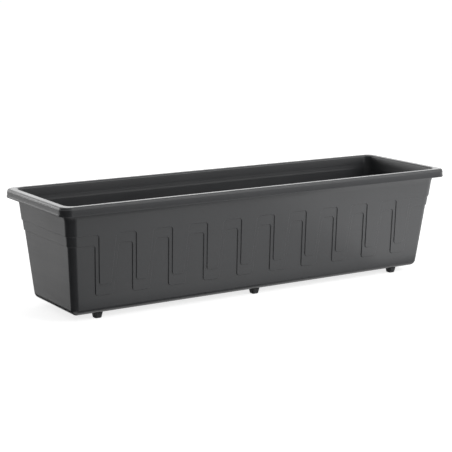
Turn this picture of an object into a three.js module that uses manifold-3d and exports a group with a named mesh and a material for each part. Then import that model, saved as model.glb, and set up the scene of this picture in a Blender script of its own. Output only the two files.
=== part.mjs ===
// Window box planter: one thin moulded trough with a turned-down rim and a
// relief of hanging tongues, six push-in feet and four drain plugs.
// Millimetres, +Z up. The origin is on the ground under the middle of the box.
import * as THREE from 'three';
import { mergeVertices } from 'three/addons/utils/BufferGeometryUtils.js';
import Module from 'manifold-3d';

const wasm = await Module();
wasm.setup();

// ---- Driving dimensions -------------------------------------------------

// Overall
const LENGTH = 602;           // over the rim, along X
const WIDTH = 172;            // over the rim, along Y
const HEIGHT = 150.5;         // from the ground to the top of the rim
const END_DRAFT = 5.305;      // degrees that an end wall leans out
const SIDE_DRAFT = 6.774;     // degrees that a long wall leans out
const WALL = 2.2;
const FLOOR = 2.4;
const FIT = 0.3;              // gap left between two pieces that touch

// Plan corners of the trough
const CORNER_AT_FLOOR = 7.7;
const CORNER_AT_RIM = 10.2;
const FLOOR_EDGE_RADIUS = 8;  // round between the walls and the floor

// Rim
const END_OVERHANG = 9.8;     // from an end wall to the rim's outer edge
const SIDE_OVERHANG = 7.9;    // from a long wall to the rim's outer edge
const RIM_SKIRT = 11.5;       // height of the turned-down edge
const RIM_PLATE = 2.4;
const SKIRT_WALL = 2.2;
const RIM_CORNER = 13;        // plan radius of the rim's outer corners
const RIM_EDGE_RADIUS = 2.2;  // round along the top outer edge
const RIM_STEP = 0.7;         // the top band stands back by this
const RIM_STEP_DROP = 4.2;    // and ends this far down the skirt
const SKIRT_LIP = 0.5;        // flare along the skirt's lower edge
const SKIRT_LIP_HEIGHT = 3;
const MOUTH_RADIUS = 3;       // round where the rim turns into the box

// Bands of the wall, measured down from the top of the rim
const COLLAR_DROP = 19.5;
const COLLAR_STEP = 0.8;
const UPPER_DROP = 39.5;
const UPPER_STEP = 1.4;
const LOWER_DROP = 52.7;
const LOWER_STEP = 0.75;

// Tongues that hang from the two bands on each long wall
const TONGUES = 10;
const TONGUE_INSET = 41;      // from the floor's end to the last tongue's middle
const TONGUE_HALF = 10.3;     // half width of the front layer, at mid height
const TONGUE_MARGIN = 4.1;    // how far the layer behind shows at each side
const TONGUE_TAPER = 0.062;   // half width lost per mm of drop
const TONGUE_DROP = 104;
const TONGUE_BACK_DROP = 118.3;
const TONGUE_CORNER = 3;      // round at the foot of a tongue
const TONGUE_FILLET = 3.5;    // round where a tongue leaves its band

// Feet
const FOOT_HEIGHT = 7.8;
const FOOT_TOP = 12;
const FOOT_BOTTOM = 9.2;
const FOOT_CORNER = 2.5;
const FOOT_EDGE = 0.8;        // chamfer round the sole
const FOOT_END_INSET = 38.5;  // from the floor's end to an end foot's middle
const FOOT_SIDE_INSET = 12.2; // from the floor's side to a foot's middle
const PEG_RADIUS = 3;
const BARB_RADIUS = 3.8;
const BARB_HEIGHT = 2.4;
const PEG_SLOT = 1.2;

// Drains
const DRAINS = 4;
const DRAIN_INSET = 98;       // from the floor's end to the last drain's middle
const DRAIN_RADIUS = 6;
const DRAIN_PAD_RADIUS = 11;
const DRAIN_PAD = 1.2;        // raised pad round each hole, inside the box
const PLUG_HEAD_RADIUS = 9;
const PLUG_HEAD = 2;
const PLUG_TAPER = 0.6;       // radius lost towards the plug's tip
const PLUG_REACH = 1.4;       // how far the tip comes through the floor
const TAB_WIDTH = 12;         // grip fin on the plug's head
const TAB_HEIGHT = 9;
const TAB_THICKNESS = 2.2;

// Smoothness of the round stretches
const CORNER_STEPS = 6;
const EDGE_STEPS = 4;
const ARC_STEPS = 3;
const ROUND_STEPS = 28;
const PAST = 1;               // a cutting shape runs this far past a face

// ---- Derived levels -----------------------------------------------------

const FLOOR_Z = FOOT_HEIGHT;                    // underside of the floor
const INNER_FLOOR_Z = FLOOR_Z + FLOOR;
const COLLAR_Z = HEIGHT - COLLAR_DROP;
const UPPER_Z = HEIGHT - UPPER_DROP;
const LOWER_Z = HEIGHT - LOWER_DROP;
const UPPER_LEVEL = LOWER_STEP + UPPER_STEP;    // how proud the upper band is
const COLLAR_LEVEL = UPPER_LEVEL + COLLAR_STEP;
const TROUGH_RISE = HEIGHT - FLOOR_Z;

// Half sizes of the plainest level of the wall, drawn in below the rim by its lean
function baseHalf(z, overall, overhang, draft) {
  const atRim = overall / 2 - overhang - COLLAR_LEVEL;
  return atRim - Math.tan(THREE.MathUtils.degToRad(draft)) * (HEIGHT - z);
}
const halfLength = (z) => baseHalf(z, LENGTH, END_OVERHANG, END_DRAFT);
const halfWidth = (z) => baseHalf(z, WIDTH, SIDE_OVERHANG, SIDE_DRAFT);

// Places along X, evenly spread, the outer two at this inset from the floor's ends
function spread(count, inset) {
  const reach = halfLength(FLOOR_Z) - inset;
  return Array.from({ length: count }, (_, i) => reach * (2 * i / (count - 1) - 1));
}

function cornerRadius(z) {
  const share = (z - FLOOR_Z) / TROUGH_RISE;
  return CORNER_AT_FLOOR + (CORNER_AT_RIM - CORNER_AT_FLOOR) * share;
}

// ---- Shapes and solids --------------------------------------------------

// Points of a rectangle with round corners, anticlockwise, all at height z
function roundedRing(halfX, halfY, radius, z, steps = CORNER_STEPS) {
  const corners = [[1, 1], [-1, 1], [-1, -1], [1, -1]];
  const ring = [];
  corners.forEach(([sideX, sideY], quarter) => {
    for (let step = 0; step <= steps; step += 1) {
      const angle = (Math.PI / 2) * (quarter + step / steps);
      const x = sideX * (halfX - radius) + radius * Math.cos(angle);
      const y = sideY * (halfY - radius) + radius * Math.sin(angle);
      ring.push(new THREE.Vector3(x, y, z));
    }
  });
  return ring;
}

// Ring round the trough at height z, proud of the plainest level by offset
function wallRing(z, offset) {
  const radius = Math.max(cornerRadius(z) + offset, WALL);
  return roundedRing(halfLength(z) + offset, halfWidth(z) + offset, radius, z);
}

// Ring round the rim, drawn in by inset
function rimRing(z, inset) {
  return roundedRing(LENGTH / 2 - inset, WIDTH / 2 - inset, RIM_CORNER - inset, z);
}

// Closed solid through a stack of rings with equal counts, ends filled
function loft(rings, ends) {
  const count = rings[0].length;
  const points = rings.flat();
  const faces = [];
  for (let level = 0; level + 1 < rings.length; level += 1) {
    for (let i = 0; i < count; i += 1) {
      const a = level * count + i;
      const b = level * count + ((i + 1) % count);
      faces.push([a, b, b + count], [a, b + count, a + count]);
    }
  }
  const last = (rings.length - 1) * count;
  const outline = ends ?? rings[0].map((p) => new THREE.Vector2(p.x, p.y));
  THREE.ShapeUtils.triangulateShape(outline, []).forEach(([a, b, c]) => {
    faces.push([c, b, a], [last + a, last + b, last + c]);
  });
  return solidFrom(points, faces);
}

// Manifold solid from points and faces, turned right side out if need be
function solidFrom(points, faces) {
  let volume = 0;
  faces.forEach(([a, b, c]) => {
    volume += points[a].dot(new THREE.Vector3().crossVectors(points[b], points[c]));
  });
  const flip = volume < 0;
  const index = faces.flatMap(([a, b, c]) => (flip ? [a, c, b] : [a, b, c]));
  return new wasm.Manifold(new wasm.Mesh({
    numProp: 3,
    vertProperties: new Float32Array(points.flatMap((p) => [p.x, p.y, p.z])),
    triVerts: new Uint32Array(index),
  }));
}

// Manifold solid from a three.js geometry
function toSolid(geometry) {
  const bare = geometry.clone();
  bare.deleteAttribute('normal');
  bare.deleteAttribute('uv');
  const merged = mergeVertices(bare, 1e-4);
  return new wasm.Manifold(new wasm.Mesh({
    numProp: 3,
    vertProperties: new Float32Array(merged.attributes.position.array),
    triVerts: new Uint32Array(merged.index.array),
  }));
}

function toGeometry(solid) {
  const mesh = solid.getMesh();
  const geometry = new THREE.BufferGeometry();
  geometry.setAttribute('position', new THREE.BufferAttribute(mesh.vertProperties, 3));
  geometry.setIndex(new THREE.BufferAttribute(mesh.triVerts, 1));
  geometry.computeVertexNormals();
  return geometry;
}

// Upright round pin between two heights
function pin(x, y, radius, bottom, top) {
  const geometry = new THREE.CylinderGeometry(radius, radius, top - bottom, ROUND_STEPS);
  geometry.rotateX(Math.PI / 2);
  geometry.translate(x, y, (bottom + top) / 2);
  return toSolid(geometry);
}

const joined = (solids) => solids.reduce((sum, next) => sum.add(next));

// ---- Relief of the long walls -------------------------------------------

// Outline of one tongue in the wall's own X and Z, swelled by grow.
// bandZ is the edge it hangs from and endZ its lower end.
function tongueOutline(half, bandZ, endZ, grow) {
  const outline = [];
  const middleZ = (bandZ + endZ) / 2;
  const fillet = TONGUE_FILLET - grow;
  const corner = TONGUE_CORNER + grow;
  const put = (x, z) => {
    const spread = TONGUE_TAPER * (z - middleZ);
    outline.push(new THREE.Vector2(x + Math.sign(x) * spread, z));
  };
  const side = half + grow;
  const rootX = half + TONGUE_FILLET;
  put(-rootX, bandZ + PAST);
  for (let step = 0; step <= ARC_STEPS; step += 1) {
    const angle = (Math.PI / 2) * (1 - step / ARC_STEPS);
    put(-rootX + fillet * Math.cos(angle), bandZ - TONGUE_FILLET + fillet * Math.sin(angle));
  }
  for (let step = 0; step <= ARC_STEPS; step += 1) {
    const angle = Math.PI + (Math.PI / 2) * (step / ARC_STEPS);
    const x = -(side - corner) + corner * Math.cos(angle);
    put(x, endZ - grow + corner + corner * Math.sin(angle));
  }
  const left = outline.slice().reverse();
  left.forEach((p) => outline.push(new THREE.Vector2(-p.x, p.y)));
  return outline;
}

// A tongue-shaped block on the front wall, from one level to a prouder one,
// its sides leaning in at 45 degrees
function tongueBlock(x, half, bandZ, endZ, from, to, edge) {
  const grows = [edge - from, edge - to];
  const outlines = grows.map((grow) => tongueOutline(half, bandZ, endZ, grow));
  const rings = outlines.map((outline, i) => outline.map((p) => {
    const level = i === 0 ? from : to;
    return new THREE.Vector3(x + p.x, -(halfWidth(p.y) + level), p.y);
  }));
  return loft(rings, outlines[0]);
}

// All tongues of one layer, on both long walls
function tongueRow(half, bandZ, endZ, from, to, edge) {
  const row = spread(TONGUES, TONGUE_INSET).map((x) => {
    const block = tongueBlock(x, half, bandZ, endZ, from, to, edge);
    return block.add(block.rotate([0, 0, 180]));
  });
  return joined(row);
}

// Everything above a band's lower edge, whose underside leans at 45 degrees
function aboveBand(z, from, to) {
  return loft([
    wallRing(z - (to - from) - PAST, from - PAST),
    wallRing(z + PAST, to + PAST),
    wallRing(HEIGHT, to + PAST),
  ]);
}

// ---- The trough ---------------------------------------------------------

function troughCore() {
  const rings = [];
  for (let step = 0; step <= EDGE_STEPS; step += 1) {
    const angle = (Math.PI / 2) * (step / EDGE_STEPS);
    const inset = FLOOR_EDGE_RADIUS * (1 - Math.sin(angle));
    rings.push(wallRing(FLOOR_Z + FLOOR_EDGE_RADIUS * (1 - Math.cos(angle)), -inset));
  }
  rings.push(wallRing(UPPER_Z, 0));
  return loft(rings);
}

// Middle layer: the lower band, with the wider tongues below it
function middleLayer() {
  const body = loft([wallRing(FLOOR_Z + FLOOR_EDGE_RADIUS, LOWER_STEP), wallRing(COLLAR_Z, LOWER_STEP)]);
  const half = TONGUE_HALF + TONGUE_MARGIN;
  const endZ = HEIGHT - TONGUE_BACK_DROP;
  const reach = LOWER_STEP + PAST;
  const tongues = tongueRow(half, LOWER_Z, endZ, -PAST, reach, LOWER_STEP);
  return body.intersect(aboveBand(LOWER_Z, 0, LOWER_STEP).add(tongues));
}

// Front layer: the upper band and collar, with the narrower tongues
function frontLayer() {
  const body = loft([
    wallRing(FLOOR_Z + FLOOR_EDGE_RADIUS, UPPER_LEVEL),
    wallRing(COLLAR_Z - COLLAR_STEP, UPPER_LEVEL),
    wallRing(COLLAR_Z, COLLAR_LEVEL),
    wallRing(HEIGHT - RIM_PLATE / 2, COLLAR_LEVEL),
  ]);
  const endZ = HEIGHT - TONGUE_DROP;
  const from = LOWER_STEP - PAST;
  const reach = UPPER_LEVEL + PAST;
  const tongues = tongueRow(TONGUE_HALF, UPPER_Z, endZ, from, reach, UPPER_LEVEL);
  return body.intersect(aboveBand(UPPER_Z, LOWER_STEP, COLLAR_LEVEL).add(tongues));
}

// Rim as an upside-down tray: a top plate with a turned-down skirt
function rimTray() {
  const skirtZ = HEIGHT - RIM_SKIRT;
  const stepZ = HEIGHT - RIM_STEP_DROP;
  const rings = [
    rimRing(skirtZ, 0),
    rimRing(skirtZ + SKIRT_LIP_HEIGHT / 2, 0),
    rimRing(skirtZ + SKIRT_LIP_HEIGHT, SKIRT_LIP),
    rimRing(stepZ, SKIRT_LIP),
    rimRing(stepZ + RIM_STEP, SKIRT_LIP + RIM_STEP),
  ];
  for (let step = 0; step <= EDGE_STEPS; step += 1) {
    const angle = (Math.PI / 2) * (step / EDGE_STEPS);
    const inset = SKIRT_LIP + RIM_STEP + RIM_EDGE_RADIUS * (1 - Math.cos(angle));
    rings.push(rimRing(HEIGHT - RIM_EDGE_RADIUS * (1 - Math.sin(angle)), inset));
  }
  const inside = SKIRT_LIP + SKIRT_WALL;
  const channel = loft([rimRing(skirtZ - PAST, inside), rimRing(HEIGHT - RIM_PLATE, inside)]);
  return loft(rings).subtract(channel);
}

// The hollow of the box, which follows the bands one wall behind them
function cavity() {
  const bottomRadius = FLOOR_EDGE_RADIUS - WALL;
  const rings = [];
  for (let step = 0; step <= EDGE_STEPS; step += 1) {
    const angle = (Math.PI / 2) * (step / EDGE_STEPS);
    const inset = WALL + bottomRadius * (1 - Math.sin(angle));
    rings.push(wallRing(INNER_FLOOR_Z + bottomRadius * (1 - Math.cos(angle)), -inset));
  }
  const bands = [
    [LOWER_Z, 0, LOWER_STEP],
    [UPPER_Z, LOWER_STEP, UPPER_LEVEL],
    [COLLAR_Z, UPPER_LEVEL, COLLAR_LEVEL],
  ];
  bands.forEach(([z, behind, proud]) => {
    rings.push(wallRing(z + WALL - (proud - behind), behind - WALL));
    rings.push(wallRing(z + WALL, proud - WALL));
  });
  for (let step = 0; step <= EDGE_STEPS; step += 1) {
    const angle = (Math.PI / 2) * (step / EDGE_STEPS);
    const flare = MOUTH_RADIUS * (1 - Math.cos(angle));
    const z = HEIGHT - MOUTH_RADIUS * (1 - Math.sin(angle));
    rings.push(wallRing(z, COLLAR_LEVEL - WALL + flare));
  }
  rings.push(wallRing(HEIGHT + PAST, COLLAR_LEVEL - WALL + MOUTH_RADIUS));
  return loft(rings);
}

// Hollows behind the tongues, so that the wall keeps one thickness
function tongueHollows() {
  const endZ = HEIGHT - TONGUE_DROP + WALL;
  const bandZ = UPPER_Z + WALL;
  const from = -WALL - PAST;
  const to = UPPER_LEVEL - WALL;
  return tongueRow(TONGUE_HALF - WALL, bandZ, endZ, from, to, to);
}

const FOOT_COLUMNS = ['left', 'middle', 'right'];
const footColumns = spread(FOOT_COLUMNS.length, FOOT_END_INSET);
const footOffset = halfWidth(FLOOR_Z) - FOOT_SIDE_INSET;
const footPlaces = [['front', -1], ['rear', 1]].flatMap(([row, side]) => (
  FOOT_COLUMNS.map((column, i) => (
    { name: `foot_${row}_${column}`, x: footColumns[i], y: side * footOffset }
  ))
));

const drainPlaces = spread(DRAINS, DRAIN_INSET);

function planterBox() {
  const outside = joined([troughCore(), middleLayer(), frontLayer(), rimTray()]);
  const shell = outside.subtract(cavity()).subtract(tongueHollows());
  const padTop = INNER_FLOOR_Z + DRAIN_PAD;
  const pads = drainPlaces.map((x) => pin(x, 0, DRAIN_PAD_RADIUS, FLOOR_Z + FLOOR / 2, padTop));
  const below = FLOOR_Z - PAST;
  const drains = drainPlaces.map((x) => pin(x, 0, DRAIN_RADIUS, below, padTop + PAST));
  const pegs = footPlaces.map((foot) => pin(foot.x, foot.y, PEG_RADIUS + FIT, below, INNER_FLOOR_Z + PAST));
  return joined([shell, ...pads]).subtract(joined([...drains, ...pegs]));
}

// ---- Feet and plugs -----------------------------------------------------

// Foot: a tapered block with a slotted peg that snaps through the floor
function footSolid() {
  const half = FOOT_TOP / 2;
  const sole = FOOT_BOTTOM / 2;
  const top = FLOOR_Z - FIT;
  const ring = (size, z) => roundedRing(size, size, FOOT_CORNER * (size / half), z, ARC_STEPS);
  const block = loft([ring(sole - FOOT_EDGE, 0), ring(sole, FOOT_EDGE), ring(half, top)]);
  const seat = INNER_FLOOR_Z + FIT;
  const profile = [
    new THREE.Vector2(0, top - PAST),
    new THREE.Vector2(PEG_RADIUS, top - PAST),
    new THREE.Vector2(PEG_RADIUS, seat),
    new THREE.Vector2(BARB_RADIUS, seat),
    new THREE.Vector2(BARB_RADIUS, seat + BARB_HEIGHT / 4),
    new THREE.Vector2(PEG_RADIUS - PEG_SLOT / 2, seat + BARB_HEIGHT),
    new THREE.Vector2(0, seat + BARB_HEIGHT),
  ];
  const peg = new THREE.LatheGeometry(profile, ROUND_STEPS);
  peg.rotateX(Math.PI / 2);
  const slot = new THREE.BoxGeometry(PEG_SLOT, 4 * BARB_RADIUS, 2 * (seat + BARB_HEIGHT - FLOOR_Z));
  slot.translate(0, 0, seat + BARB_HEIGHT);
  return block.add(toSolid(peg)).subtract(toSolid(slot));
}

// Drain plug: a flat head inside the box, a tapered stem and a grip fin
function plugSolid() {
  const under = INNER_FLOOR_Z + DRAIN_PAD + FIT;
  const headTop = under + PLUG_HEAD;
  const tip = FLOOR_Z - PLUG_REACH;
  const stem = DRAIN_RADIUS - FIT;
  const profile = [
    new THREE.Vector2(0, tip),
    new THREE.Vector2(stem - PLUG_TAPER, tip),
    new THREE.Vector2(stem, FLOOR_Z),
    new THREE.Vector2(stem, under),
    new THREE.Vector2(PLUG_HEAD_RADIUS, under),
    new THREE.Vector2(PLUG_HEAD_RADIUS, headTop - PLUG_HEAD / 3),
    new THREE.Vector2(PLUG_HEAD_RADIUS - PLUG_HEAD / 3, headTop),
    new THREE.Vector2(0, headTop),
  ];
  const body = new THREE.LatheGeometry(profile, ROUND_STEPS);
  body.rotateX(Math.PI / 2);
  const crown = TAB_WIDTH / 2;
  const crownZ = TAB_HEIGHT - crown;
  const tab = new THREE.Shape();
  tab.moveTo(-crown, -PLUG_HEAD / 2);
  tab.lineTo(crown, -PLUG_HEAD / 2);
  tab.lineTo(crown, crownZ);
  tab.absarc(0, crownZ, crown, 0, Math.PI, false);
  const plate = new THREE.ExtrudeGeometry(tab, {
    depth: TAB_THICKNESS, bevelEnabled: false, curveSegments: ROUND_STEPS / 4,
  });
  plate.translate(0, 0, -TAB_THICKNESS / 2);
  plate.rotateX(Math.PI / 2);
  plate.translate(0, 0, headTop);
  return toSolid(body).add(toSolid(plate));
}

// ---- The assembly -------------------------------------------------------

const plastic = (color, roughness) => new THREE.MeshStandardMaterial({ color, roughness, metalness: 0 });
const boxMaterial = plastic('#3a3b3d', 0.38);
const footMaterial = plastic('#343537', 0.5);
const plugMaterial = plastic('#2b2c2e', 0.6);

const group = new THREE.Group();

function place(name, geometry, material, x = 0, y = 0) {
  const mesh = new THREE.Mesh(geometry, material);
  mesh.name = name;
  mesh.position.set(x, y, 0);
  group.add(mesh);
}

place('planter_box', toGeometry(planterBox()), boxMaterial);

const footGeometry = toGeometry(footSolid());
footPlaces.forEach((foot) => place(foot.name, footGeometry, footMaterial, foot.x, foot.y));

const plugGeometry = toGeometry(plugSolid());
drainPlaces.forEach((x, i) => place(`drain_plug_${i + 1}`, plugGeometry, plugMaterial, x));

export default group;
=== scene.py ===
# %% [markdown]
# # A window box planter
# The object is a long trough for a sill or a balcony rail, moulded in one shot
# from dark grey polypropylene. Six feet are pressed into its floor from below and
# four plugs close its drain holes from above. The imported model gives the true
# sizes; this lesson makes the surfaces that the eye sees around them.

import math

import bmesh
import bpy
from mathutils import Matrix, Vector


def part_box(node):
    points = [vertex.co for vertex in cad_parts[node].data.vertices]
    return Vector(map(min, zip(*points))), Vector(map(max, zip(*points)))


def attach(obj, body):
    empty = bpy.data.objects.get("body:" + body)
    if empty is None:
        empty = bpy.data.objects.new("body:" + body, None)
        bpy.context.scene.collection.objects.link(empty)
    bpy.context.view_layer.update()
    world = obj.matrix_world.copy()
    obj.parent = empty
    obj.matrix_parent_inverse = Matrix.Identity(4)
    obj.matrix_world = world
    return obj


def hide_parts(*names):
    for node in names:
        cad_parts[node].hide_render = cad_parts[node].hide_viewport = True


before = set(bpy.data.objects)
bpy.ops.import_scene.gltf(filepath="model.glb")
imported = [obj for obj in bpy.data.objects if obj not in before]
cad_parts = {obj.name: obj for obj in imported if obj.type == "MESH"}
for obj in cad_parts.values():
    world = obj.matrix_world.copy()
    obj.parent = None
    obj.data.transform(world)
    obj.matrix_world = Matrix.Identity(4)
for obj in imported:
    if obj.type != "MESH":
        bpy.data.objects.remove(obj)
scene = bpy.context.scene
for start_up in ("Cube", "Light", "Camera"):
    if start_up in bpy.data.objects:
        bpy.data.objects.remove(bpy.data.objects[start_up])
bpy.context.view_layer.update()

# %% [markdown]
# ## The camera
# The photograph was taken from the front left and a little above, with a long
# lens. The camera's place was worked out from the box's corners and relief lines,
# so it is given as a place, a heading and a tilt, as a tripod has.

# %% Place the camera
MM = 0.001
IMAGE_WIDTH = 452
FOCAL_PIXELS = 1339.06
SENSOR = 36.0
CAMERA_PLACE = Vector((-983.2, -1488.9, 443.8)) * MM
HEADING = math.radians(33.017)
TILT_DOWN = math.radians(11.409)
ROLL = math.radians(-0.409)

forward = Vector(
    (
        math.sin(HEADING) * math.cos(TILT_DOWN),
        math.cos(HEADING) * math.cos(TILT_DOWN),
        -math.sin(TILT_DOWN),
    )
)
level_right = Vector((math.cos(HEADING), -math.sin(HEADING), 0))
level_down = forward.cross(level_right)
image_right = math.cos(ROLL) * level_right + math.sin(ROLL) * level_down
image_down = math.cos(ROLL) * level_down - math.sin(ROLL) * level_right

camera_data = bpy.data.cameras.new("camera")
camera_data.sensor_width = SENSOR
camera_data.lens = SENSOR * FOCAL_PIXELS / IMAGE_WIDTH
camera = bpy.data.objects.new("camera", camera_data)
scene.collection.objects.link(camera)
turn = Matrix((image_right, -image_down, -forward)).transposed()
camera.matrix_world = Matrix.Translation(CAMERA_PLACE) @ turn.to_4x4()
scene.camera = camera
print(f"lens {camera_data.lens:.1f} mm, {CAMERA_PLACE.length:.2f} m from the box")

# %% [markdown]
# ## Sizes
# A moulder's drawing gives sizes in millimetres, so the script does too, and one
# factor turns them to Blender's metres. The overall size is read from the packed
# box. What can't be read from a box, such as how far down a band ends, is named
# here once.

# %% The trough and its corners, in millimetres
box_low, box_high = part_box("planter_box")
HALF_LENGTH = box_high.x / MM
HALF_WIDTH = box_high.y / MM
TOP = box_high.z / MM
FLOOR_Z = box_low.z / MM

WALL = 2.2
FLOOR_HALF_LENGTH = 275.0
FLOOR_HALF_WIDTH = 58.2
CORNER_AT_FLOOR = 7.7
CORNER_AT_RIM = 10.2
FLOOR_EDGE_RADIUS = 8.0
print(f"over the rim {2 * HALF_LENGTH:.1f} x {2 * HALF_WIDTH:.1f} mm")

# %% The rim
END_OVERHANG = 9.8
SIDE_OVERHANG = 7.9
RIM_CORNER = 13.0
RIM_SKIRT = 11.5
RIM_STEP = 0.7
RIM_STEP_DROP = 4.2
SKIRT_LIP = 0.5
SKIRT_LIP_HEIGHT = 3.0
RIM_FALL = 0.1
BEND_RADIUS = 0.8
TIGHT_BEND = 0.3
print(f"rim {RIM_SKIRT:.1f} mm deep, its top at {TOP:.1f} mm")

# %% The collar, the two bands and their tongues
COLLAR_DROP = 19.5
COLLAR_STEP = 0.8
COLLAR_FLARE = 1.5
UPPER_DROP = 39.5
UPPER_STEP = 1.05
LOWER_DROP = 52.7
LOWER_STEP = 1.1

TONGUES = 10
TONGUE_PITCH = 52.0
TONGUE_HALF = 10.3
TONGUE_MARGIN = 4.1
TONGUE_TAPER = 0.062
TONGUE_DROP = 104.0
TONGUE_BACK_DROP = 118.3
TONGUE_CORNER = 3.5

COLLAR_Z = TOP - COLLAR_DROP
UPPER_Z = TOP - UPPER_DROP
LOWER_Z = TOP - LOWER_DROP
UPPER_LEVEL = LOWER_STEP + UPPER_STEP
COLLAR_LEVEL = UPPER_LEVEL + COLLAR_STEP
print(TONGUES, "tongues on each long wall, up to", UPPER_LEVEL, "mm proud")

# %% The plan of the wall and of the rim
CORNER_SEGMENTS = 10
NEAR = 0.02  # two places closer than this, in millimetres, count as one


def plan(z, level):
    """Half length, half width, corner radius and height of the wall, proud by level."""
    share = (z - FLOOR_Z) / (TOP - FLOOR_Z)
    rim_x = HALF_LENGTH - END_OVERHANG - COLLAR_LEVEL
    rim_y = HALF_WIDTH - SIDE_OVERHANG - COLLAR_LEVEL
    half_x = FLOOR_HALF_LENGTH + (rim_x - FLOOR_HALF_LENGTH) * share + level
    half_y = FLOOR_HALF_WIDTH + (rim_y - FLOOR_HALF_WIDTH) * share + level
    radius = CORNER_AT_FLOOR + (CORNER_AT_RIM - CORNER_AT_FLOOR) * share + level
    return half_x, half_y, max(radius, WALL), z


def rim_plan(z, inset):
    """The same four numbers for an outline of the rim, drawn in by inset."""
    return HALF_LENGTH - inset, HALF_WIDTH - inset, RIM_CORNER - inset, z


def outside_by(point, outline):
    """How far a point in metres lies outside an outline, in millimetres."""
    half_x, half_y, radius, _ = outline
    over_x = abs(point.x) / MM - (half_x - radius)
    over_y = abs(point.y) / MM - (half_y - radius)
    corner = math.hypot(max(over_x, 0), max(over_y, 0))
    return corner + min(max(over_x, over_y), 0) - radius


def proud_of_wall(point):
    """How far a point stands out from the plain leaning wall, in millimetres."""
    return outside_by(point, plan(point.z / MM, 0))


print("plan at the floor:", plan(FLOOR_Z, 0), "and under the rim:", plan(TOP, 0))


# %% [markdown]
# ## The trough as a sheet
# The moulding has one wall thickness everywhere, like a bent sheet. So its
# outer skin is modelled first, as a stack of rounded outlines that are bridged,
# and Solidify gives it its wall at the end. A cube with bevelled edges would be
# quicker, but its corners could not change radius on the way up.


# %% Start an empty mesh and pick in it by place
def work_on(piece):
    for other in bpy.context.selected_objects:
        other.select_set(False)
    piece.select_set(True)
    bpy.context.view_layer.objects.active = piece


def start_mesh(name):
    piece = bpy.data.objects.new(name, bpy.data.meshes.new(name))
    scene.collection.objects.link(piece)
    work_on(piece)
    bpy.ops.object.mode_set(mode="EDIT")
    return piece


def pick(kind, test):
    """In edit mode, selects only the vertices, edges or faces that pass the test."""
    modes = {"verts": "VERT", "edges": "EDGE", "faces": "FACE"}
    bpy.ops.mesh.select_mode(type=modes[kind])
    bpy.ops.mesh.select_all(action="DESELECT")
    mesh = bpy.context.object.data
    shape = bmesh.from_edit_mesh(mesh)
    found = [part for part in getattr(shape, kind) if test(part)]
    for part in found:
        part.select_set(True)
    shape.select_flush_mode()
    bmesh.update_edit_mesh(mesh)
    return len(found)


# %% One rounded outline, and a bridge between two
def draw_outline(outline):
    half_x, half_y, radius, z = outline
    bpy.ops.mesh.select_mode(type="VERT")
    bpy.ops.mesh.select_all(action="DESELECT")
    place = (0, 0, z * MM)
    bpy.ops.mesh.primitive_plane_add(size=2 * MM, location=place)
    bpy.ops.transform.resize(value=(half_x, half_y, 1), center_override=place)
    bpy.ops.mesh.bevel(
        offset=radius * MM, segments=CORNER_SEGMENTS, profile=0.5, affect="VERTICES"
    )
    bpy.ops.mesh.delete(type="ONLY_FACE")


def lies_on(edge, outline, near=NEAR):
    return all(
        abs(v.co.z / MM - outline[3]) < near and abs(outside_by(v.co, outline)) < near
        for v in edge.verts
    )


def bridge(first, second, near=NEAR):
    pick(
        "edges",
        lambda edge: len(edge.link_faces) < 2
        and (lies_on(edge, first, near) or lies_on(edge, second, near)),
    )
    bpy.ops.mesh.bridge_edge_loops()


# %% The band of wall that carries the relief
box = start_mesh("window_box")
wall_foot = plan(FLOOR_Z + FLOOR_EDGE_RADIUS, 0)
head_z = COLLAR_Z - COLLAR_STEP
wall_head = plan(head_z, 0)
draw_outline(wall_foot)
draw_outline(wall_head)
bridge(wall_foot, wall_head)
bpy.ops.mesh.select_all(action="SELECT")
bpy.ops.mesh.normals_make_consistent(inside=False)
print("wall band faces:", pick("faces", lambda face: True))

# %% [markdown]
# ## The relief
# Two bands run round the box, the upper one proud of the lower one, and on the
# long walls both hang down in ten tapered tongues. The band of wall is scored
# with straight cuts along every edge of the relief, and then what lies inside is
# extruded outwards, first the wide layer and then the narrow one on top of it.
# A boolean join of separate blocks would do too, but it leaves slivers.

# %% Score the wall
SQUARE_ON = 0.9  # a normal's share along an axis that counts as facing it


def on_long_wall(face):
    return abs(face.normal.y) > SQUARE_ON and abs(face.normal.x) < NEAR


def cut(test, point, normal):
    pick("faces", test)
    bpy.ops.mesh.bisect(plane_co=[c * MM for c in point], plane_no=normal)


tongue_centres = [(i - (TONGUES - 1) / 2) * TONGUE_PITCH for i in range(TONGUES)]
layers = {
    "wide": (TONGUE_HALF + TONGUE_MARGIN, LOWER_Z, TOP - TONGUE_BACK_DROP, LOWER_STEP),
    "narrow": (TONGUE_HALF, UPPER_Z, TOP - TONGUE_DROP, UPPER_STEP),
}
for half, band_z, end_z, _ in layers.values():
    cut(lambda face: True, (0, 0, band_z), (0, 0, 1))
    cut(on_long_wall, (0, 0, end_z), (0, 0, 1))
    for centre in tongue_centres:
        for side in (-1, 1):
            middle = (centre + side * half, 0, (band_z + end_z) / 2)
            cut(on_long_wall, middle, (1, 0, -side * TONGUE_TAPER))
print("scored faces:", pick("faces", lambda face: True))


# %% Raise the two layers
def inside_layer(face, half, band_z, end_z):
    centre = face.calc_center_median() / MM
    if centre.z > band_z:
        return True
    if centre.z < end_z or not on_long_wall(face):
        return False
    reach = half + TONGUE_TAPER * (centre.z - (band_z + end_z) / 2)
    return any(abs(centre.x - x) < reach for x in tongue_centres)


for name, (half, band_z, end_z, step) in layers.items():
    raised = pick("faces", lambda face: inside_layer(face, half, band_z, end_z))
    bpy.ops.mesh.extrude_region_shrink_fatten(
        TRANSFORM_OT_shrink_fatten={"value": step * MM, "use_even_offset": True}
    )
    pick("faces", lambda face: face.normal.z > SQUARE_ON)
    bpy.ops.mesh.delete(type="FACE")
    print(name, "layer:", raised, "faces raised by", step, "mm")

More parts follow.
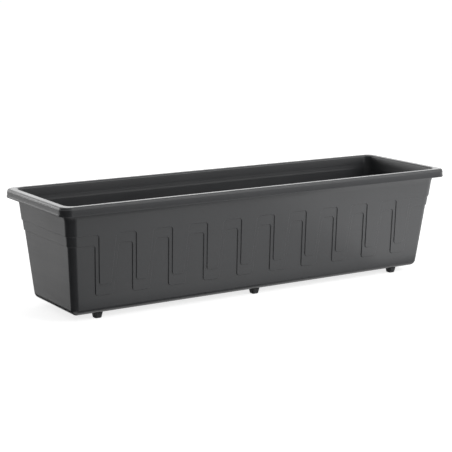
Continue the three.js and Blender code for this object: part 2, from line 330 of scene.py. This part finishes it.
# %% Clear the score lines and round the outlines of the tongues
SHARP = math.radians(40)
FLAT = math.radians(0.5)
OUTLINE_SEGMENTS = 5


def is_sharp(edge):
    return len(edge.link_faces) == 2 and edge.calc_face_angle() > SHARP


def stands_out(edge):
    """A short sharp edge that runs straight out from a wall."""
    rise = [proud_of_wall(v.co) for v in edge.verts]
    return is_sharp(edge) and abs(rise[0] - rise[1]) > LOWER_STEP / 2


bpy.ops.mesh.select_all(action="SELECT")
bpy.ops.mesh.dissolve_limited(angle_limit=FLAT, use_dissolve_boundaries=True)
corners = pick("edges", stands_out)
bpy.ops.mesh.bevel(
    offset=TONGUE_CORNER * MM,
    segments=OUTLINE_SEGMENTS,
    profile=0.5,
    affect="EDGES",
    clamp_overlap=False,
)
print("outline corners rounded:", corners)

# %% [markdown]
# ## Floor edge, collar and rim
# Below the relief the wall turns under in a large round. Above it a collar flares
# gently outwards, and the rim turns out, then down, like an upturned gutter. Each
# is a list of outlines, because a bridged outline can change its corner radius
# with its height, which a swept profile can't.


# %% The outlines of the floor's edge
FLOOR_ROUND_STEPS = 8


def quarter(steps):
    """The angles of a quarter turn, in equal steps."""
    return [math.pi / 2 * step / steps for step in range(steps + 1)]


floor_round = [
    plan(
        FLOOR_Z + FLOOR_EDGE_RADIUS * (1 - math.cos(angle)),
        FLOOR_EDGE_RADIUS * (math.sin(angle) - 1),
    )
    for angle in quarter(FLOOR_ROUND_STEPS)
]
print(len(floor_round), "outlines below the relief")

# %% The outlines of the collar and the rim
FLARE_STEPS = 5
BEND_STEPS = 4
under_rim = TOP - WALL
edge_z = TOP - RIM_SKIRT
flare_shares = [step / FLARE_STEPS for step in range(FLARE_STEPS + 1)]
collar = [
    plan(head_z + (edge_z - head_z) * share, UPPER_LEVEL + COLLAR_FLARE * share**2)
    for share in flare_shares
]
turn_out = [
    plan(
        under_rim - BEND_RADIUS * (1 - math.sin(angle)),
        COLLAR_LEVEL + BEND_RADIUS * (1 - math.cos(angle)),
    )
    for angle in quarter(BEND_STEPS)
]
band_inset = WALL + SKIRT_LIP + RIM_STEP
turn_down = [
    rim_plan(
        under_rim - RIM_FALL - TIGHT_BEND * (1 - math.cos(angle)),
        band_inset + TIGHT_BEND * (1 - math.sin(angle)),
    )
    for angle in quarter(BEND_STEPS)
]
step_z = TOP - RIM_STEP_DROP
skirt = [
    rim_plan(step_z + RIM_STEP, band_inset),
    rim_plan(step_z, WALL + SKIRT_LIP),
    rim_plan(edge_z + SKIRT_LIP_HEIGHT, WALL + SKIRT_LIP),
    rim_plan(edge_z + SKIRT_LIP_HEIGHT / 2, WALL),
    rim_plan(edge_z, WALL),
]
rim = collar + turn_out + turn_down + skirt
print(len(rim), "outlines above it")

# %% Draw them, bridge them and close the floor
LOOSE_FIT = 0.3  # how far the raised relief's upper edge may be from its outline


def is_relief_top(edge):
    return edge.is_boundary and min(v.co.z for v in edge.verts) > UPPER_Z * MM


pick("edges", is_relief_top)
bpy.ops.transform.resize(value=(1, 1, 0), center_override=(0, 0, head_z * MM))
for outline in floor_round[:-1] + rim[1:]:
    draw_outline(outline)
bridge(rim[0], rim[1], LOOSE_FIT)
for stack in (floor_round, rim[1:]):
    for first, second in zip(stack, stack[1:]):
        bridge(first, second)
pick("edges", lambda edge: lies_on(edge, floor_round[0]))
bpy.ops.mesh.edge_face_add()
bpy.ops.mesh.select_all(action="SELECT")
# The farthest face is the skirt's, and the skin shows its inner side there. The
# recalculation takes that face as its outside, so here it is asked for the inside.
bpy.ops.mesh.normals_make_consistent(inside=True)
skin_faces = pick("faces", lambda face: True)
open_edges = pick("edges", lambda edge: edge.is_boundary)
print("skin faces:", skin_faces, "open edges, all on the skirt:", open_edges)
bpy.ops.object.mode_set(mode="OBJECT")

# %% [markdown]
# ## The wall
# Solidify thickens the skin inwards by one wall. Inside, under the rim, the real
# box doesn't follow the flare: its inner face leans evenly, after one faint step.
# So a vertex group makes the wall there thicker by what the flare adds. A second,
# inner skin would need every outline twice.


# %% Give the skin its wall
def apply_modifier(piece, kind, **settings):
    work_on(piece)
    modifier = piece.modifiers.new(kind.lower(), kind)
    for setting, value in settings.items():
        setattr(modifier, setting, value)
    bpy.ops.object.modifier_apply(modifier=modifier.name)


INNER_STEP = 0.2
THICKEST = WALL + COLLAR_FLARE
FLARE_STARTS = 0.1
FLARE_ENDS = 1.1
BEYOND_COLLAR = 1.0
neck_z = under_rim - BEND_RADIUS
wall_share = box.vertex_groups.new(name="wall_share")
thickened = 0
for vertex in box.data.vertices:
    z = vertex.co.z / MM
    share = (z - head_z) / (edge_z - head_z)
    on_wall = proud_of_wall(vertex.co) < COLLAR_LEVEL + BEYOND_COLLAR
    wall = WALL
    if on_wall and FLARE_STARTS < share < FLARE_ENDS:
        lean = (z - head_z) / (neck_z - head_z)
        inside = INNER_STEP + (COLLAR_STEP - INNER_STEP) * lean
        wall += COLLAR_FLARE * share**2 - inside
        thickened += 1
    wall_share.add([vertex.index], wall / THICKEST, "REPLACE")
print("vertices with a wall of their own:", thickened)
apply_modifier(
    box,
    "SOLIDIFY",
    vertex_group=wall_share.name,
    thickness=THICKEST * MM,
    offset=-1,
    use_even_offset=True,
    use_quality_normals=True,
)
print("with its wall:", len(box.data.polygons), "faces")

# %% [markdown]
# ## Soft edges
# A steel mould is cut with small radii, and the plastic fills them, so no edge of
# the relief is sharp. Every step gets a bevel that is nearly half as wide as the
# step is high, which makes a soft S of it. A bevel weight on each edge says how
# much, because one modifier has one width.

# %% Weigh the edges and bevel them
STEP_SHARE = 0.45
SKIRT_ROUND = 0.5
rim_starts = COLLAR_Z + WALL + NEAR
widest = STEP_SHARE * max(UPPER_STEP, LOWER_STEP)


def round_for(edge):
    """The radius in millimetres that a sharp edge of the box gets."""
    if not is_sharp(edge):
        return 0
    heights = [v.co.z / MM for v in edge.verts]
    if max(heights) > rim_starts:
        on_edge = abs(min(heights) - edge_z) < NEAR
        return SKIRT_ROUND if on_edge else STEP_SHARE * RIM_STEP
    steps = []
    for face in edge.link_faces:
        rise = [proud_of_wall(v.co) for v in face.verts]
        steps.append(max(rise) - min(rise))
    return min(STEP_SHARE * max(steps), widest)


bpy.ops.object.mode_set(mode="EDIT")
shape = bmesh.from_edit_mesh(box.data)
weight = shape.edges.layers.float.new("bevel_weight_edge")
for edge in shape.edges:
    edge[weight] = round_for(edge) / widest
softened = sum(1 for edge in shape.edges if edge[weight] > 0)
bmesh.update_edit_mesh(box.data)
bpy.ops.object.mode_set(mode="OBJECT")
apply_modifier(
    box,
    "BEVEL",
    limit_method="WEIGHT",
    width=widest * MM,
    segments=3,
    use_clamp_overlap=False,
)
print(softened, "edges softened;", len(box.data.polygons), "faces")

# %% [markdown]
# ## Holes in the floor
# Each drain is a plain hole in a raised round pad, so that water stands a few
# millimetres deep before it runs out. Each foot's peg has its own hole. All of
# them are straight round holes in a flat floor, which is what a boolean does well.
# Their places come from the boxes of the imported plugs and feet.

# %% Places of the feet and the plugs
foot_nodes = [
    f"foot_{row}_{column}"
    for row in ("front", "rear")
    for column in ("left", "middle", "right")
]
plug_nodes = [f"drain_plug_{number}" for number in (1, 2, 3, 4)]


def middle_of(node):
    """The middle of a node's box in plan, in millimetres."""
    low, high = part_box(node)
    return (low.x + high.x) / 2 / MM, (low.y + high.y) / 2 / MM


foot_places = {node: middle_of(node) for node in foot_nodes}
plug_places = {node: middle_of(node) for node in plug_nodes}
print("first foot at", foot_places[foot_nodes[0]])
print("first plug at", plug_places[plug_nodes[0]])

# %% A round shape, raised through a list of radii and heights
ROUND_SIDES = 48


def raise_round(place, profile):
    """Raises a disc through (radius, height) pairs, from the first to the last."""
    x, y = (c * MM for c in place)
    radius, z = profile[0]
    bpy.ops.mesh.primitive_circle_add(
        vertices=ROUND_SIDES,
        radius=radius * MM,
        fill_type="NGON",
        location=(x, y, z * MM),
    )
    for (last_radius, last_z), (radius, z) in zip(profile, profile[1:]):
        bpy.ops.mesh.extrude_region_move(
            TRANSFORM_OT_translate={"value": (0, 0, (z - last_z) * MM)}
        )
        share = radius / last_radius
        bpy.ops.transform.resize(value=(share, share, 1), center_override=(x, y, z * MM))


def end_mesh():
    bpy.ops.mesh.select_all(action="SELECT")
    bpy.ops.mesh.normals_make_consistent(inside=False)
    bpy.ops.object.mode_set(mode="OBJECT")


def combine(piece, tool, operation):
    apply_modifier(piece, "BOOLEAN", object=tool, operation=operation, solver="EXACT")
    bpy.data.objects.remove(tool)


# %% Raise the drain pads, then drill the drains and the peg holes
FLOOR = 2.4
FIT = 0.3
DRAIN_RADIUS = 6.0
DRAIN_PAD_RADIUS = 11.0
PAD_HEIGHT = 1.2
PAD_ROUND = 0.4
PAD_TOP = FLOOR_Z + FLOOR + PAD_HEIGHT
PEG_RADIUS = 3.0

pads = start_mesh("pads")
for place in plug_places.values():
    raise_round(
        place,
        [
            (DRAIN_PAD_RADIUS, FLOOR_Z + WALL / 2),
            (DRAIN_PAD_RADIUS, PAD_TOP - PAD_ROUND),
            (DRAIN_PAD_RADIUS - PAD_ROUND, PAD_TOP),
        ],
    )
end_mesh()
combine(box, pads, "UNION")

drills = start_mesh("drills")
for places, radius in ((plug_places, DRAIN_RADIUS), (foot_places, PEG_RADIUS + FIT)):
    for place in places.values():
        raise_round(place, [(radius, FLOOR_Z - WALL), (radius, PAD_TOP + WALL)])
end_mesh()
combine(box, drills, "DIFFERENCE")
print("with its floor drilled:", len(box.data.polygons), "faces")


# %% Smooth shading that keeps flat faces flat
def smooth(piece):
    work_on(piece)
    bpy.ops.object.shade_smooth_by_angle(angle=SHARP)
    apply_modifier(piece, "WEIGHTED_NORMAL", keep_sharp=True)


smooth(box)
low = [min(v.co[axis] for v in box.data.vertices) / MM for axis in range(3)]
high = [max(v.co[axis] for v in box.data.vertices) / MM for axis in range(3)]
print("box from", [round(c, 2) for c in low], "to", [round(c, 2) for c in high])

# %% [markdown]
# ## Feet
# Each foot is a small tapered block with a slotted peg. The peg's two halves
# spring together as it goes through the floor, and its barb holds it from inside.
# The block is a cube that is tapered and bevelled, the peg is a disc that is
# extruded and resized, and a thin box cuts the slot. One foot is modelled at its
# place, and the others are copies.

# %% Sizes of a foot
FOOT_TOP = 12.0
FOOT_SOLE = 9.2
FOOT_CORNER = 2.5
FOOT_EDGE = 0.8
BARB_RADIUS = 3.8
BARB_HEIGHT = 2.4
PEG_SLOT = 1.2
PEG_ROOT = 1.0  # how deep the peg starts inside the block
block_top = FLOOR_Z - FIT
seat = FLOOR_Z + FLOOR + FIT
print(f"block up to {block_top:.1f} mm, barb from {seat:.1f} mm")


# %% The block
def add_block(place, size, bottom, top):
    x, y = (c * MM for c in place)
    bpy.ops.mesh.primitive_cube_add(
        size=1,
        location=(x, y, (bottom + top) / 2 * MM),
        scale=(size[0] * MM, size[1] * MM, (top - bottom) * MM),
    )


def rises(edge):
    return abs(edge.verts[0].co.z - edge.verts[1].co.z) > MM


def at_height(part, z):
    return all(abs(v.co.z / MM - z) < NEAR for v in part.verts)


first_foot = foot_nodes[0]
foot = start_mesh("push_in_" + first_foot)
foot_x, foot_y = foot_places[first_foot]
add_block((foot_x, foot_y), (FOOT_TOP, FOOT_TOP), 0, block_top)
pick("faces", lambda face: at_height(face, 0))
sole_share = FOOT_SOLE / FOOT_TOP
bpy.ops.transform.resize(
    value=(sole_share, sole_share, 1), center_override=(foot_x * MM, foot_y * MM, 0)
)
pick("edges", rises)
bpy.ops.mesh.bevel(offset=FOOT_CORNER * MM, segments=5, affect="EDGES")
pick("edges", lambda edge: at_height(edge, 0))
bpy.ops.mesh.bevel(offset=FOOT_EDGE * MM, segments=3, affect="EDGES")
pick("edges", lambda edge: at_height(edge, block_top))
bpy.ops.mesh.bevel(offset=FIT * MM, segments=2, affect="EDGES")
end_mesh()
print("block:", len(foot.data.polygons), "faces")

# %% The slotted peg
peg = start_mesh("peg")
raise_round(
    foot_places[first_foot],
    [
        (PEG_RADIUS, block_top - PEG_ROOT),
        (PEG_RADIUS, seat),
        (BARB_RADIUS, seat),
        (BARB_RADIUS, seat + BARB_HEIGHT / 4),
        (PEG_RADIUS - PEG_SLOT / 2, seat + BARB_HEIGHT),
    ],
)
end_mesh()
combine(foot, peg, "UNION")

slot = start_mesh("slot")
slot_size = (PEG_SLOT, 3 * BARB_RADIUS)
add_block(foot_places[first_foot], slot_size, FLOOR_Z, seat + 2 * BARB_HEIGHT)
end_mesh()
combine(foot, slot, "DIFFERENCE")
smooth(foot)
print("foot:", len(foot.data.polygons), "faces")

# %% [markdown]
# ## Drain plugs
# A plug is one soft moulding: a tapered stem, a flat round head that closes the
# hole and a fin to pull it by. The stem and head are one raised round shape, and
# the fin is a block whose two upper edges are bevelled until they meet.

# %% Sizes of a plug
STEM = DRAIN_RADIUS - FIT
PLUG_TAPER = 0.6
PLUG_REACH = 1.4
HEAD_RADIUS = 9.0
HEAD = 2.0
TAB_WIDTH = 12.0
TAB_HEIGHT = 9.0
TAB_THICKNESS = 2.2
TAB_ROUND = 0.5
HAIR_SHORT = 0.999  # the fin's two rounds stop a hair short of each other
under_head = PAD_TOP + FIT
head_top = under_head + HEAD
tab_top = head_top + TAB_HEIGHT
print(f"head from {under_head:.1f} to {head_top:.1f} mm, fin up to {tab_top:.1f} mm")

# %% The stem and the head
first_plug = plug_nodes[0]
plug = start_mesh("pull_out_" + first_plug)
raise_round(
    plug_places[first_plug],
    [
        (STEM - PLUG_TAPER, FLOOR_Z - PLUG_REACH),
        (STEM, FLOOR_Z),
        (STEM, under_head),
        (HEAD_RADIUS, under_head),
        (HEAD_RADIUS, head_top - HEAD / 3),
        (HEAD_RADIUS - HEAD / 3, head_top),
    ],
)
end_mesh()
print("stem and head:", len(plug.data.polygons), "faces")


# %% The fin
def ends_fin(edge):
    """One of the two short edges at the fin's upper corners."""
    across = abs(edge.verts[0].co.x - edge.verts[1].co.x) < NEAR * MM
    return across and at_height(edge, tab_top)


def outlines_fin(edge):
    return is_sharp(edge) and max(v.co.z for v in edge.verts) > head_top * MM


tab = start_mesh("tab")
tab_size = (TAB_WIDTH, TAB_THICKNESS)
add_block(plug_places[first_plug], tab_size, head_top - HEAD / 2, tab_top)
pick("edges", ends_fin)
bpy.ops.mesh.bevel(offset=TAB_WIDTH / 2 * MM * HAIR_SHORT, segments=12, affect="EDGES")
pick("edges", outlines_fin)
bpy.ops.mesh.bevel(offset=TAB_ROUND * MM, segments=3, affect="EDGES")
end_mesh()
combine(plug, tab, "UNION")
smooth(plug)
print("plug:", len(plug.data.polygons), "faces")


# %% Copy the foot and the plug to their places
def copy_to(piece, name, start, place):
    """A copy with its own mesh, whose place is in that mesh."""
    twin = piece.copy()
    twin.data = piece.data.copy()
    twin.name = name
    shift = Vector((place[0] - start[0], place[1] - start[1], 0)) * MM
    twin.data.transform(Matrix.Translation(shift))
    scene.collection.objects.link(twin)
    return twin


feet = {first_foot: foot}
first_place = foot_places[first_foot]
for node in foot_nodes[1:]:
    feet[node] = copy_to(foot, "push_in_" + node, first_place, foot_places[node])
plugs = {first_plug: plug}
first_place = plug_places[first_plug]
for node in plug_nodes[1:]:
    plugs[node] = copy_to(plug, "pull_out_" + node, first_place, plug_places[node])
print(len(feet), "feet and", len(plugs), "plugs")

# %% [markdown]
# ## What each piece stands for
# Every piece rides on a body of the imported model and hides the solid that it
# replaces, so the model moves as its joints say.

# %% Bodies, replaced solids and finishes
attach(box, "box")
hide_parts("planter_box")
for node, piece in feet.items():
    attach(piece, "box")
    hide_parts(node)
for number, (node, piece) in enumerate(plugs.items(), start=1):
    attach(piece, f"plug_{number}")
    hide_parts(node)
print("pieces ride on their bodies")

# %% [markdown]
# ## Finishes
# All three finishes are plastics straight from the mould. What the eye reads is
# the gloss, which is broken up at three scales: a grain that the spark-eroded
# steel leaves, a slow waviness where the wall shrank, and faint streaks that run
# with the flow of the melt. Colour changes hardly at all.


# %% Colours and nodes
def linear(colour):
    """An sRGB hex colour as linear values."""
    parts = [int(colour[i : i + 2], 16) / 255 for i in (1, 3, 5)]
    lit = [c / 12.92 if c <= 0.04045 else ((c + 0.055) / 1.055) ** 2.4 for c in parts]
    return lit + [1]


def add_node(tree, kind, inputs=None, **settings):
    """Adds a shader node: settings are its own, inputs are values or links."""
    node = tree.nodes.new("ShaderNode" + kind)
    for setting, value in settings.items():
        setattr(node, setting, value)
    for socket, value in (inputs or {}).items():
        if isinstance(value, bpy.types.NodeSocket):
            tree.links.new(value, node.inputs[socket])
        else:
            node.inputs[socket].default_value = value
    return node


def new_material(name):
    material = bpy.data.materials.new(name)
    material.use_nodes = True
    material.node_tree.nodes.clear()
    return material


print("linear value of a mid grey:", round(linear("#808080")[0], 3))

# %% [markdown]
# ### One recipe for a moulded plastic
# Noise is enough for all three scales, and each scale is a real size: the grit of
# the eroded steel, the width of a sink mark, and the width and length of a flow
# streak. The grain is drawn about twice as coarse as the real grit, and from here
# it only softens the gloss. An image texture would repeat, and need unwrapping.

# %% The pattern that colour and gloss follow, in millimetres
MOTTLE = 70.0
STREAK_LENGTH = 220.0
STREAK_WIDTH = 6.0


def flow_pattern(tree, place):
    """A slow mottle, mixed with streaks along the flow of the melt."""
    mottle = add_node(
        tree, "TexNoise", {"Vector": place, "Scale": 1 / (MOTTLE * MM), "Detail": 3.0}
    )
    sizes = (STREAK_LENGTH, STREAK_LENGTH, STREAK_WIDTH)
    stretch = add_node(
        tree, "Mapping", {"Vector": place, "Scale": [1 / (s * MM) for s in sizes]}
    )
    streaks = add_node(
        tree, "TexNoise", {"Vector": stretch.outputs[0], "Scale": 1.0, "Detail": 4.0}
    )
    both = add_node(
        tree,
        "Mix",
        {0: 0.5, 2: mottle.outputs[0], 3: streaks.outputs[0]},
        data_type="FLOAT",
    )
    return both.outputs[0]


print("streaks", STREAK_WIDTH, "mm wide and", STREAK_LENGTH, "mm long")

# %% The waves and the grain of the surface, in millimetres
WAVINESS = 14.0
WAVE_DEPTH = 0.12
WAVE_STRENGTH = 0.35
GRAIN = 0.5
GRAIN_STRENGTH = 0.5


def moulded_surface(tree, place, grain_depth):
    """The normal of a moulded face: sink marks, and grain on top of them."""
    waves = add_node(
        tree, "TexNoise", {"Vector": place, "Scale": 1 / (WAVINESS * MM), "Detail": 1.0}
    )
    shrunk = add_node(
        tree,
        "Bump",
        {
            "Strength": WAVE_STRENGTH,
            "Distance": WAVE_DEPTH * MM,
            "Height": waves.outputs[0],
        },
    )
    grain = add_node(
        tree, "TexNoise", {"Vector": place, "Scale": 1 / (GRAIN * MM), "Detail": 2.0}
    )
    grained = add_node(
        tree,
        "Bump",
        {
            "Strength": GRAIN_STRENGTH,
            "Distance": grain_depth * MM,
            "Height": grain.outputs[0],
            "Normal": shrunk.outputs[0],
        },
    )
    return grained.outputs[0]


print("grain", GRAIN, "mm, waves", WAVINESS, "mm")

# %% The whole recipe
NOISE_LOW = 0.3
NOISE_HIGH = 0.7
GLOSS_SPREAD = 0.04


def moulded_plastic(name, dark, pale, roughness, grain_depth, ior):
    material = new_material(name)
    tree = material.node_tree
    place = add_node(tree, "TexCoord").outputs["Object"]
    pattern = flow_pattern(tree, place)
    colour = add_node(
        tree, "Mix", {0: pattern, 6: linear(dark), 7: linear(pale)}, data_type="RGBA"
    )
    gloss = add_node(
        tree,
        "MapRange",
        {
            "Value": pattern,
            "From Min": NOISE_LOW,
            "From Max": NOISE_HIGH,
            "To Min": roughness - GLOSS_SPREAD,
            "To Max": roughness + GLOSS_SPREAD,
        },
    )
    shader = add_node(
        tree,
        "BsdfPrincipled",
        {
            "Base Color": colour.outputs[2],
            "Roughness": gloss.outputs[0],
            "IOR": ior,
            "Normal": moulded_surface(tree, place, grain_depth),
        },
    )
    add_node(tree, "OutputMaterial", {"Surface": shader.outputs[0]})
    return material


def finish(piece, material):
    piece.data.materials.clear()
    piece.data.materials.append(material)


print("gloss varies by", GLOSS_SPREAD, "up and down")

# %% [markdown]
# ### The three plastics
# The box and the feet are polypropylene, with a refractive index of 1.49, and the
# plugs are a softer polyethylene, with 1.51.

# %% Make them and put them on
POLYPROPYLENE_IOR = 1.49
POLYETHYLENE_IOR = 1.51

# The box comes from finely eroded steel: a soft highlight, no mirror image, and a
# grain that can only be seen close up.
satin_polypropylene = moulded_plastic(
    "satin_moulded_polypropylene",
    dark="#333436",
    pale="#37383a",
    roughness=0.32,
    grain_depth=0.012,
    ior=POLYPROPYLENE_IOR,
)
# The feet come from a coarser, plainer mould: matt, and so a shade darker.
matt_polypropylene = moulded_plastic(
    "matt_moulded_polypropylene",
    dark="#292a2c",
    pale="#2d2e30",
    roughness=0.5,
    grain_depth=0.015,
    ior=POLYPROPYLENE_IOR,
)
# The plugs are soft enough to squeeze into their holes: nearly black, with the
# broad, waxy sheen of a soft plastic.
soft_polyethylene = moulded_plastic(
    "soft_moulded_polyethylene",
    dark="#222324",
    pale="#262728",
    roughness=0.6,
    grain_depth=0.02,
    ior=POLYETHYLENE_IOR,
)

finish(box, satin_polypropylene)
for piece in feet.values():
    finish(piece, matt_polypropylene)
for piece in plugs.values():
    finish(piece, soft_polyethylene)
print("materials:", sorted(m.name for m in bpy.data.materials if "moulded" in m.name))

# %% [markdown]
# ## The studio
# The photograph shows the box cut out on white. Here it stands on a wide white
# floor under a white surround, which a camera and a reflection see at full
# white, while the light that falls on the box stays at a plain level. Dark
# plastic shows its form by what it reflects, so softboxes draw the bright edges
# and dark cards, which only reflections see, draw the dark corners. Reflections
# don't see the floor, so that a card below it can darken what faces down.

# %% Rays that see the studio at full white
def studio_rays(tree):
    """1 for a camera, glossy or transmission ray, 0 for the light on the box."""
    path = add_node(tree, "LightPath").outputs
    seen = path["Is Camera Ray"]
    for ray in ("Is Glossy Ray", "Is Transmission Ray"):
        either = add_node(tree, "Math", {0: seen, 1: path[ray]}, operation="MAXIMUM")
        seen = either.outputs[0]
    return seen


# %% Floor
FLOOR_REACH = 40.0
FLOOR_GLOW = 0.77
floor = start_mesh("studio_floor")
bpy.ops.mesh.primitive_plane_add(size=2 * FLOOR_REACH, location=(0, 0, 0))
bpy.ops.object.mode_set(mode="OBJECT")

# Matt paper, which the camera sees lifted to white, with the box's shadow on it.
paper = new_material("white_paper")
tree = paper.node_tree
rays = studio_rays(tree)
lift = add_node(tree, "Math", {0: rays, 1: FLOOR_GLOW}, operation="MULTIPLY").outputs[0]
glow = add_node(tree, "Emission", {"Color": linear("#ffffff"), "Strength": lift})
matt = add_node(tree, "BsdfDiffuse", {"Color": linear("#ececec")})
sheet = add_node(tree, "AddShader", {0: glow.outputs[0], 1: matt.outputs[0]})
add_node(tree, "OutputMaterial", {"Surface": sheet.outputs[0]})
finish(floor, paper)
floor.visible_glossy = False
print("floor:", 2 * FLOOR_REACH, "m wide")

# %% Surround
LIGHT_LEVEL = 0.3
world = bpy.data.worlds.new("white_surround")
world.use_nodes = True
world.node_tree.nodes.clear()
scene.world = world
tree = world.node_tree
level = add_node(
    tree, "MapRange", {"Value": studio_rays(tree), "To Min": LIGHT_LEVEL, "To Max": 1.0}
)
surround = add_node(
    tree, "Background", {"Color": linear("#ffffff"), "Strength": level.outputs[0]}
)
add_node(tree, "OutputWorld", {"Surface": surround.outputs[0]})

print("surround at", LIGHT_LEVEL, "for the light on the box")

# %% [markdown]
# ### Dark cards and softboxes
# Each is placed where the eye, by way of one face of the box, looks into the
# studio. That way a tone can be set for one face without changing the others.

# %% Cloth that only reflections see
# Black cloth takes nearly all light: it is the dark that the plastic reflects.
black_cloth = new_material("black_cloth")
tree = black_cloth.node_tree
cloth = add_node(tree, "BsdfDiffuse", {"Color": linear("#080808")})
add_node(tree, "OutputMaterial", {"Surface": cloth.outputs[0]})


def hide_from_all_but_gloss(card):
    card.visible_camera = False
    card.visible_diffuse = False
    card.visible_shadow = False
    card.visible_transmission = False
    finish(card, black_cloth)


print("cloth:", black_cloth.name)

# %% A curved and a flat card, in metres and in degrees
CARD_DISTANCE = 2.0
CARD_FACETS = 180


def beside(face):
    """Degrees from straight in front towards the left end."""
    centre = face.calc_center_median()
    return math.degrees(math.atan2(-centre.x, -centre.y))


def add_curved_card(name, start, end, bottom, top):
    """A card bent round the box, from start to end degrees."""
    card = start_mesh(name)
    bpy.ops.mesh.primitive_cylinder_add(
        vertices=CARD_FACETS,
        radius=CARD_DISTANCE,
        depth=top - bottom,
        location=(0, 0, (top + bottom) / 2),
        end_fill_type="NOTHING",
    )
    pick("faces", lambda face: not start < beside(face) < end)
    bpy.ops.mesh.delete(type="FACE")
    end_mesh()
    hide_from_all_but_gloss(card)


def add_flat_card(name, place, size):
    """A level square card."""
    card = start_mesh(name)
    bpy.ops.mesh.primitive_plane_add(size=size, location=place)
    end_mesh()
    hide_from_all_but_gloss(card)


# %% Hang the cards
# The dark front left corner and the relief's dark left edges.
add_curved_card("dark_card_left", start=-16, end=130, bottom=-1.7, top=1.2)
# The inside of the back wall.
add_curved_card("dark_card_front", start=-41, end=-25, bottom=0.0, top=0.65)
# The front wall and the relief's lower edges.
add_flat_card("dark_card_below", place=(0.6, -1.0, -1.2), size=1.1)
# The left end wall.
add_flat_card("dark_card_behind", place=(-1.1, 1.5, -1.1), size=2.3)


# %% One softbox, in metres
def add_softbox(name, place, aim, size, radiance):
    """A rectangular lamp, as bright to look at as its radiance says."""
    lamp = bpy.data.lights.new(name, "AREA")
    lamp.shape = "RECTANGLE"
    lamp.size, lamp.size_y = size
    lamp.energy = radiance * math.pi * size[0] * size[1]
    softbox = bpy.data.objects.new(name, lamp)
    scene.collection.objects.link(softbox)
    ahead = Vector(aim) - Vector(place)
    softbox.matrix_world = (
        Matrix.Translation(place) @ ahead.to_track_quat("-Z", "Y").to_matrix().to_4x4()
    )
    softbox.visible_camera = False
    return softbox


# %% Place the softboxes
UP = 1.0

# The main light, from the right of the camera.
add_softbox(
    "softbox_right", place=(0.95, -1.2, 1.0), aim=(0, 0, 0.1), size=(1.3, 1.0), radiance=2.6
)
# The bright line along the top of the rim.
add_softbox(
    "softbox_back", place=(0.8, 2.1, 0.9), aim=(0, 0, 0.2), size=(3.2, 1.2), radiance=1.5
)
# The bright left end of the rim, in reflections alone.
rim_light = add_softbox(
    "softbox_back_left",
    place=(-1.6, 1.8, 0.6),
    aim=(0, 0, 0.1),
    size=(1.4, 1.1),
    radiance=3.6,
)
rim_light.visible_diffuse = False
# Two that lie on the floor and face up. They brighten the front wall towards its
# right end, and the wide one hides the edge of the other.
add_softbox(
    "softbox_low",
    place=(0.6, -0.32, 0.004),
    aim=(0.6, -0.32, UP),
    size=(0.75, 0.46),
    radiance=0.7,
)
add_softbox(
    "softbox_low_wide",
    place=(0.5, -0.59, 0.003),
    aim=(0.5, -0.59, UP),
    size=(1.5, 1.0),
    radiance=0.45,
)

# %% [markdown]
# ## Finish
# The picture is shown through Blender's Standard view transform.

scene.view_settings.view_transform = "Standard"
